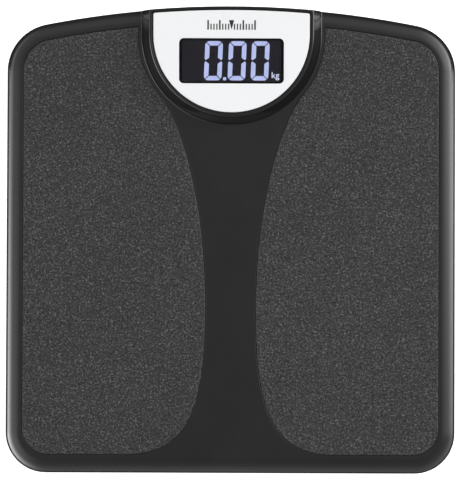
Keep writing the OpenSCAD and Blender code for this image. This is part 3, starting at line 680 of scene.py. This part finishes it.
def display_hood():
    """The pod's black surround, from the inside of its skirt, out under its foot, up its flank and over
    its shoulder to the groove round the face plate."""
    def ring(r, rear_inset, corner, z):
        """A loop round the pod, with its rear inset and corner radius in millimetres."""
        return pod_ring(r, rear_inset * MM, corner * MM, z)

    shoulder_r = FASCIA_R + 2.9 * MM
    well_r = FASCIA_R + 1.1 * MM
    rise = (POD_TOP - 1.2 * MM - POD_BAND_Z) / POD_LEAN
    loops = [ring(POD_SKIRT_R - 2.5 * MM, 3.4, 1.0, CEILING_Z),
             ring(POD_SKIRT_R - 2.4 * MM, 3.4, 1.0, POD_SEAT_Z),
             ring(POD_SKIRT_R, 3.4, 1.0, POD_SEAT_Z),
             ring(POD_SKIRT_R, 3.4, 1.0, TOP_Z),
             ring(POD_R, 0.02, 2.0, TOP_Z)]
    fillet = ((-0.6, 0.12), (-0.35, 0.2), (-0.1, 0.4), (0.05, 0.65), (0.32, 1.2))
    for dr, lift in fillet:
        z = TOP_Z + lift * MM
        loops.append(ring(POD_R - dr * MM, (z - POD_BAND_Z) / rise / MM, 2.0, z))
    foot_r, foot_z = POD_R - 0.32 * MM, TOP_Z + 1.2 * MM
    top_r, top_z = shoulder_r + 0.05 * MM, POD_TOP - 0.7 * MM
    for k in range(1, 5):
        s = k / 4
        z = foot_z + (top_z - foot_z) * s
        loops.append(ring(foot_r + (top_r - foot_r) * s, (z - POD_BAND_Z) / rise / MM, 2.0 - 0.5 * s, z))
    shoulder = ((0, 1.25, 0.62), (-0.08, 1.33, 0.5), (-0.46, 1.7, 0.12), (-0.65, 1.9, 0.03), (-1.0, 2.25, 0))
    for dr, inset, drop in shoulder:
        loops.append(ring(shoulder_r + dr * MM, inset, 1.5, POD_TOP - drop * MM))
    inner_lip = ((0.25, 2.8, 0), (0.07, 3.02, 0.07), (0, 3.1, 0.25))
    for dr, inset, drop in inner_lip:
        loops.append(ring(well_r + dr * MM, inset, 1.3, POD_TOP - drop * MM))
    groove_z = DECK_Z - 1.2 * MM
    deck_r = FASCIA_R - 0.1 * MM
    loops += [ring(well_r, 3.1, 1.2, groove_z),
              ring(deck_r, 3.8, 1.1, groove_z),
              ring(deck_r, 3.8, 1.1, DECK_Z)]
    shape = Shape()
    made = shape.loft(loops)
    hole = rounded_rect(WINDOW_CX, WINDOW_CY, window_high.x - window_low.x - 3.6 * MM,
                        window_high.y - window_low.y - 1.8 * MM, 1.5 * MM)
    window = shape.loft([level(hole, DECK_Z), level(hole, CEILING_Z)])
    shape.fill([made[-1], window[0]], DECK_Z)
    shape.fill([made[0], window[1]], CEILING_Z, up=False)
    return shape.done("hood_surround", "display_hood", MATS["hood_abs"], 30)


def display_fascia():
    """The pale face plate, with soft edges and the window's opening."""
    cx, cy = WINDOW_CX, WINDOW_CY
    w = window_high.x - window_low.x + 2 * WINDOW_GAP
    d = window_high.y - window_low.y + 2 * WINDOW_GAP
    opening_r = WINDOW_R + WINDOW_GAP
    edge = [(0, DECK_Z), (0, FASCIA_TOP - 0.3 * MM), (0.09, FASCIA_TOP - 0.09 * MM), (0.3, FASCIA_TOP),
            (0.5, FASCIA_TOP)]
    shape = Shape()
    outer = shape.loft([pod_ring(FASCIA_R - u * MM, (3.7 + u) * MM, (1.2 - u) * MM, z) for u, z in edge])
    lip = [(0.7, FASCIA_TOP), (0.4, FASCIA_TOP), (0.12, FASCIA_TOP - 0.06 * MM), (0, FASCIA_TOP - 0.25 * MM),
           (0, DECK_Z)]
    inner = shape.loft([level(rounded_rect(cx, cy, w + u * MM, d + u * MM, opening_r + u / 2 * MM), z)
                        for u, z in lip])
    shape.fill([outer[-1], inner[0]], FASCIA_TOP)
    shape.fill([outer[0], inner[-1]], DECK_Z, up=False)
    return shape.done("face_plate", "display_fascia", MATS["fascia_paint"], 30)


def display_window():
    """The smoked lens, with a softly rounded edge."""
    cx, cy = WINDOW_CX, WINDOW_CY
    w, d = window_high.x - window_low.x, window_high.y - window_low.y
    lens_r = WINDOW_R - WINDOW_GAP
    top = window_high.z
    edge = [(0, window_low.z), (0, top - 0.25 * MM), (0.15, top - 0.07 * MM), (0.5, top), (0.8, top)]
    shape = Shape()
    loops = shape.loft([level(rounded_rect(cx, cy, w - u * MM, d - u * MM, lens_r - u / 2 * MM), z)
                        for u, z in edge])
    shape.bm.faces.new(loops[-1])
    shape.bm.faces.new(list(reversed(loops[0])))
    return shape.done("window_lens", "display_window", MATS["window_lens"], 30)


def zero_segments(cx, cy, w, h, t):
    """The six lit segments of a 0, each t thick, as outlines: two caps and four bars, mitred at the
    corners."""
    r = 3.1 * MM
    gap = 0.42 * MM
    tilt = math.radians(4.5)
    x, y = w / 2, h / 2
    quarter = math.pi / 4
    left_arc = arc(-x + r, y - r, r, 3 * quarter - tilt, HALF_PI, 5)
    right_arc = arc(x - r, y - r, r, HALF_PI, quarter + tilt, 5)
    cap = left_arc + right_arc + [(x - t - gap, y - t), (-x + t + gap, y - t)]
    bar = arc(-x + r, y - r, r, 3 * quarter + tilt, math.pi, 5)
    bar += [(-x, 1.3 * MM), (-x + 0.7 * MM, 0.4 * MM), (-x + t, 2.0 * MM), (-x + t, y - t - gap)]
    shapes = []
    for part, mirrors in ((cap, ((1, 1), (1, -1))), (bar, ((1, 1), (-1, 1), (1, -1), (-1, -1)))):
        shapes += [[(sx * px, sy * py) for px, py in part] for sx, sy in mirrors]
    slant = math.tan(math.radians(2.2))       # the figures lean to the right
    return [[(cx + px + py * slant, cy + py) for px, py in s] for s in shapes]


def prism(shape, points, z0, z1):
    """Adds a closed flat prism with sharp sides."""
    area = sum(a[0] * b[1] - b[0] * a[1] for a, b in zip(points, points[1:] + points[:1]))
    ordered = points if area > 0 else list(reversed(points))
    low, high = shape.loft([level(ordered, z0), level(ordered, z1)])
    shape.fill([high], z1)
    shape.fill([low], z0, up=False)


def lcd_digits():
    """The lit figures 0.00 and their unit sign, just proud of the display glass."""
    z0, z1 = lcd_high.z, lcd_high.z + 0.05 * MM
    cy = WINDOW_CY + 0.28 * MM
    w, h = 11.8 * MM, 26.2 * MM
    stroke = 3.0 * MM
    point = 2.2 * MM
    shape = Shape()
    for x in (-12.0 * MM, 3.77 * MM, 19.1 * MM):
        for points in zero_segments(x, cy, w, h, stroke):
            prism(shape, points, z0, z1)
    prism(shape, rounded_rect(-4.5 * MM, cy - 12.0 * MM, point, point, 0.7 * MM, 4), z0, z1)
    shape.done("lcd_figures", None, MATS["lcd_lit"], 30)
    return sign("lcd_unit_sign", "kg", 29.2 * MM, cy - 9.7 * MM, 6.0 * MM, z0, z1)


def sign(name, text, cx, cy, size, z0, z1):
    """A short generic sign in plain letters, as a closed mesh."""
    curve = bpy.data.curves.new(name + "_outline", "FONT")
    curve.body = text
    curve.size = size
    curve.align_x = "CENTER"
    curve.align_y = "CENTER"
    curve.extrude = (z1 - z0) / 2
    curve.offset = -0.05 * MM       # thinner strokes
    source = bpy.data.objects.new(name + "_outline", curve)
    bpy.context.scene.collection.objects.link(source)
    bpy.context.view_layer.update()
    mesh = bpy.data.meshes.new_from_object(source.evaluated_get(bpy.context.evaluated_depsgraph_get()))
    bpy.data.objects.remove(source)
    mesh.transform(Matrix.Translation((cx, cy, (z0 + z1) / 2)))
    mesh.name = name
    piece = bpy.data.objects.new(name, mesh)
    bpy.context.scene.collection.objects.link(piece)
    return dress(piece, None, MATS["lcd_sign"])


def lcd_panel():
    """The display's glass sandwich, dark where it isn't lit, with its contact ledge."""
    (x0, y0, z0), (x1, y1, z1) = lcd_low, lcd_high
    cx, w = (x0 + x1) / 2, x1 - x0
    mid = (z0 + z1) / 2
    ledge = 1.2 * MM
    bevel = 0.12 * MM
    shape = Shape()
    for low, high, near in ((z0, mid, y0), (mid, z1, y0 + ledge)):
        depth = y1 - near
        middle = (near + y1) / 2
        loops = shape.loft([level(rounded_rect(cx, middle, w - 2 * u, depth - 2 * u, 0.3 * MM, 3), z)
                            for u, z in ((bevel, low), (0, low + bevel), (0, high - bevel), (bevel, high))])
        shape.bm.faces.new(loops[-1])
        shape.bm.faces.new(list(reversed(loops[0])))
    return shape.done("lcd_sandwich", "lcd_glass", MATS["lcd"], 30)


def printed_scale():
    """A plain row of graduation marks with a pointer, printed on the face plate above the window."""
    z0, z1 = FASCIA_TOP, FASCIA_TOP + 0.04 * MM
    base = window_high.y + 5.8 * MM
    tall, short = 6.4 * MM, 4.0 * MM
    spacing = 1.95 * MM
    pointer_half_w = 1.7 * MM
    shape = Shape()
    for i in range(-8, 9):
        if i == 0:
            continue
        long_mark = i % 4 == 0
        x = i * spacing
        half = (1.05 if long_mark else 0.8) / 2 * MM
        top = base + (tall if long_mark else short)
        prism(shape, [(x - half, base), (x + half, base), (x + half, top), (x - half, top)], z0, z1)
    prism(shape, [(0, base), (pointer_half_w, base + tall), (-pointer_half_w, base + tall)], z0, z1)
    return shape.done("printed_scale_marks", None, MATS["print_black"], 30)


# ---------- underside ----------

def lathe(name, node, slot, centre, profile, segments=72):
    """A turned piece about an upright axis, from a profile that starts and ends on the axis."""
    shape = Shape()
    rings = [level(arc(*centre, r, 0, 4 * HALF_PI, segments)[:-1], z) for r, z in profile[1:-1]]
    made = shape.loft(rings)
    for (_, z), ring in ((profile[0], made[0]), (profile[-1], made[-1])):
        tip = shape.bm.verts.new((centre[0], centre[1], z))
        for a, b in zip(ring, ring[1:] + ring[:1]):
            shape.bm.faces.new((a, b, tip))
    return shape.done(name, node, MATS[slot], 35, body_of[node])


def gripping_pad(corner):
    """A foot's rubber pad, with grip grooves turned in its underside and a soft edge."""
    node = "foot_pad_" + corner
    low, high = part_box(node)
    centre = ((low.x + high.x) / 2, (low.y + high.y) / 2)
    r = (high.x - low.x) / 2
    profile = [(0, low.z)]
    for k in range(4):
        edge = 2.2 * MM + k * 2.9 * MM
        if edge + 1.6 * MM > r - 1.2 * MM:
            break
        groove = ((0, 0), (0.25, 0.2), (0.3, 0.7), (0.9, 0.7), (0.95, 0.2), (1.2, 0))
        profile += [(edge + dr * MM, low.z + deep * MM) for dr, deep in groove]
    for i in range(6):
        a = HALF_PI * i / 5
        profile.append((r - 0.8 * MM * (1 - math.sin(a)), low.z + 0.8 * MM * (1 - math.cos(a))))
    profile += [(r, high.z), (0, high.z)]
    lathe("grip_pad_" + corner, node, "foot_rubber", centre, profile)


def turned_cap(corner):
    """A foot's moulded cap with eased edges, and the barbed stem that snaps into its load cell."""
    node = "foot_cap_" + corner
    low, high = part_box(node)
    centre = ((low.x + high.x) / 2, (low.y + high.y) / 2)
    r = (high.x - low.x) / 2
    top = 9 * MM                    # the cap's rim
    cell = high.z - 3.8 * MM        # the underside of the load cell
    profile = [(0, low.z), (r - 1.6 * MM, low.z)]
    for i in range(1, 7):
        a = HALF_PI * i / 6
        profile.append((r - 1.6 * MM * (1 - math.sin(a)), low.z + 1.6 * MM * (1 - math.cos(a))))
    rim = ((0, -0.3), (-0.1, -0.1), (-0.3, 0), (-1.7, 0), (-1.9, -0.1), (-2, -0.3))
    profile += [(r + dr * MM, top + dz * MM) for dr, dz in rim]
    profile += [(r - 2 * MM, 5 * MM), (6 * MM, 5 * MM), (6 * MM, cell - 0.3 * MM), (5.7 * MM, cell),
                (2.4 * MM, cell), (2.4 * MM, cell + 2.2 * MM), (3.4 * MM, cell + 2.2 * MM),
                (2.3 * MM, high.z - 0.1 * MM), (2.1 * MM, high.z), (0, high.z)]
    lathe("cap_" + corner, node, "foot_abs", centre, profile)


def softened(node, width):
    """A CAD node with its sharp moulded edges eased."""
    mod = frame["nodes"][node].modifiers.new("eased_edges", "BEVEL")
    mod.width = width
    mod.segments = 2
    mod.limit_method = "ANGLE"
    mod.angle_limit = math.radians(50)


# ---------- camera, floor and light ----------

def look(location, target, roll=0.0):
    """The turn that aims a camera or a light at a target."""
    direction = (Vector(target) - Vector(location)).normalized()
    return direction.to_track_quat("-Z", "Y") @ Matrix.Rotation(roll, 3, "Z").to_quaternion()


def add_camera():
    """Straight above the scale, leaning a little towards its front edge."""
    distance = 2.0
    lean = math.radians(1.45)
    roll = math.radians(0.22)
    lens_per_metre = 112.03
    cam = bpy.data.cameras.new("camera")
    cam.sensor_width = 36
    cam.lens = lens_per_metre * distance
    cam.dof.use_dof = False
    cam.clip_end = 20
    obj = bpy.data.objects.new("camera", cam)
    bpy.context.scene.collection.objects.link(obj)
    aim = Vector((-0.18 * MM, -0.25 * MM, 20 * MM))
    obj.location = aim + distance * Vector((0, -math.sin(lean), math.cos(lean)))
    obj.rotation_mode = "QUATERNION"
    obj.rotation_quaternion = look(obj.location, aim, roll)
    bpy.context.scene.camera = obj


def softbox(name, location, width, power):
    """A square area light aimed at the scale, out of sight of the camera and of mirror reflections."""
    light = bpy.data.lights.new(name, "AREA")
    light.shape = "RECTANGLE"
    light.size = width
    light.size_y = width
    light.energy = power
    obj = bpy.data.objects.new(name, light)
    bpy.context.scene.collection.objects.link(obj)
    obj.location = location
    obj.rotation_mode = "QUATERNION"
    middle = (0, 0, 20 * MM)
    obj.rotation_quaternion = look(location, middle)
    obj.visible_camera = False
    obj.visible_glossy = False


def studio_world():
    """A soft light tent: bright low down at the left and right, dim at the front and the rear."""
    world = bpy.data.worlds.new("studio")
    world.use_nodes = True

    def add(kind, inputs=None, **settings):
        return add_node(world.node_tree, kind, inputs, **settings)

    def calc(kind, a, b):
        return add("ShaderNodeMath", {0: a, 1: b}, operation=kind).outputs[0]

    def mix(factor, a, b):
        return add("ShaderNodeMix", {"Factor": factor, "A": a, "B": b}).outputs[0]

    def ranged(value, start, end, low, high):
        return add("ShaderNodeMapRange", {"Value": value, "From Min": start, "From Max": end,
                                          "To Min": low, "To Max": high}).outputs[0]

    axes = add("ShaderNodeSeparateXYZ", {0: add("ShaderNodeTexCoord").outputs["Generated"]}).outputs
    height = add("ShaderNodeMath", {0: axes["Z"], 1: 0.5, 2: 0.5}, operation="MULTIPLY_ADD").outputs[0]
    brightest = 8.0

    def profile(stops):
        """Brightness against height, from -1 straight down to 1 straight up."""
        n = add("ShaderNodeValToRGB", {"Fac": height})
        set_stops(n.color_ramp, [((z + 1) / 2, grey(value / brightest)) for z, value in stops])
        return calc("MULTIPLY", n.outputs["Color"], brightest)

    left = profile(((-0.62, 0.02), (-0.5, 1.2), (-0.38, 5.2), (-0.17, 4.9), (0.02, 3.8), (0.19, 2.5),
                    (0.34, 1.6), (0.48, 1.25), (0.7, 1.3), (0.8, 1.15), (0.92, 0.9), (1, 0.36)))
    right = profile(((-0.62, 0.02), (-0.5, 1.0), (-0.38, 3.2), (-0.17, 3.0), (0.02, 2.8), (0.19, 2.4),
                     (0.34, 1.9), (0.48, 1.6), (0.7, 1.4), (0.8, 1.15), (0.92, 0.9), (1, 0.36)))
    front = profile(((-0.68, 0.02), (-0.5, 0.8), (-0.2, 0.8), (0.1, 0.95), (0.3, 0.85), (0.6, 0.62),
                     (0.85, 0.5), (1, 0.36)))
    rear = profile(((-0.5, 0.03), (0, 0.2), (0.26, 0.5), (0.6, 0.7), (0.85, 0.6), (1, 0.36)))
    square_x = calc("MULTIPLY", axes["X"], axes["X"])
    square_y = calc("MULTIPLY", axes["Y"], axes["Y"])
    # 0 towards the front or the rear, 1 towards the sides
    sideways = calc("DIVIDE", square_x, calc("MAXIMUM", calc("ADD", square_x, square_y), 0.0001))
    behind = calc("GREATER_THAN", axes["Y"], 0.0)
    rightward = calc("GREATER_THAN", axes["X"], 0.0)
    ends = mix(behind, front, rear)
    sides = mix(rightward, left, right)
    # the sides are brightest at the rear right and front left, and dark low down at the rear
    swing = ranged(calc("MULTIPLY", axes["X"], axes["Y"]), -0.06, 0.1, 0.6, 2.3)
    low_down = ranged(axes["Z"], 0.0, -0.12, 0.0, 1.0)
    aft = ranged(axes["Y"], 0.08, 0.1, 1.0, 0.02)
    swing = calc("MULTIPLY", swing, mix(low_down, 1.0, aft))
    tone = mix(sideways, ends, calc("MULTIPLY", sides, swing))
    # overhead, the light grows towards the rear
    overhead = ranged(axes["Y"], -0.12, 0.14, 0.8, 1.16)
    background = world.node_tree.nodes["Background"].inputs
    world.node_tree.links.new(calc("MULTIPLY", tone, overhead), background["Strength"])
    background["Color"].default_value = (1, 1, 1, 1)
    bpy.context.scene.world = world


def add_stage():
    """The floor, which casts no shadow and isn't mirrored, the light tent and three softboxes."""
    shape = Shape()
    half = 6.0
    shape.bm.faces.new(shape.loop([(-half, -half, 0), (half, -half, 0), (half, half, 0), (-half, half, 0)]))
    floor = shape.as_object("floor")
    floor.data.materials.append(pale_floor("floor_paper"))
    floor.visible_glossy = False
    floor.visible_shadow = False
    studio_world()
    softbox("softbox_key", (1.5, 0.8, 0.7), 0.4, 14)
    softbox("softbox_under", (0.5, -0.6, -0.9), 1.0, 30)
    softbox("softbox_under_edge", (-0.9, 0.5, -0.3), 0.4, 14)
    bpy.context.scene.view_settings.view_transform = "Standard"


add_camera()
platform_shell()
standing_mat("mat_right", "right_mat", as_drawn)
standing_mat("mat_left", "left_mat", flipped)
display_hood()
display_fascia()
display_window()
lcd_panel()
lcd_digits()
printed_scale()
for corner in CORNERS:
    gripping_pad(corner)
    turned_cap(corner)
softened("unit_button", 0.25 * MM)
softened("battery_door", 0.2 * MM)
add_stage()
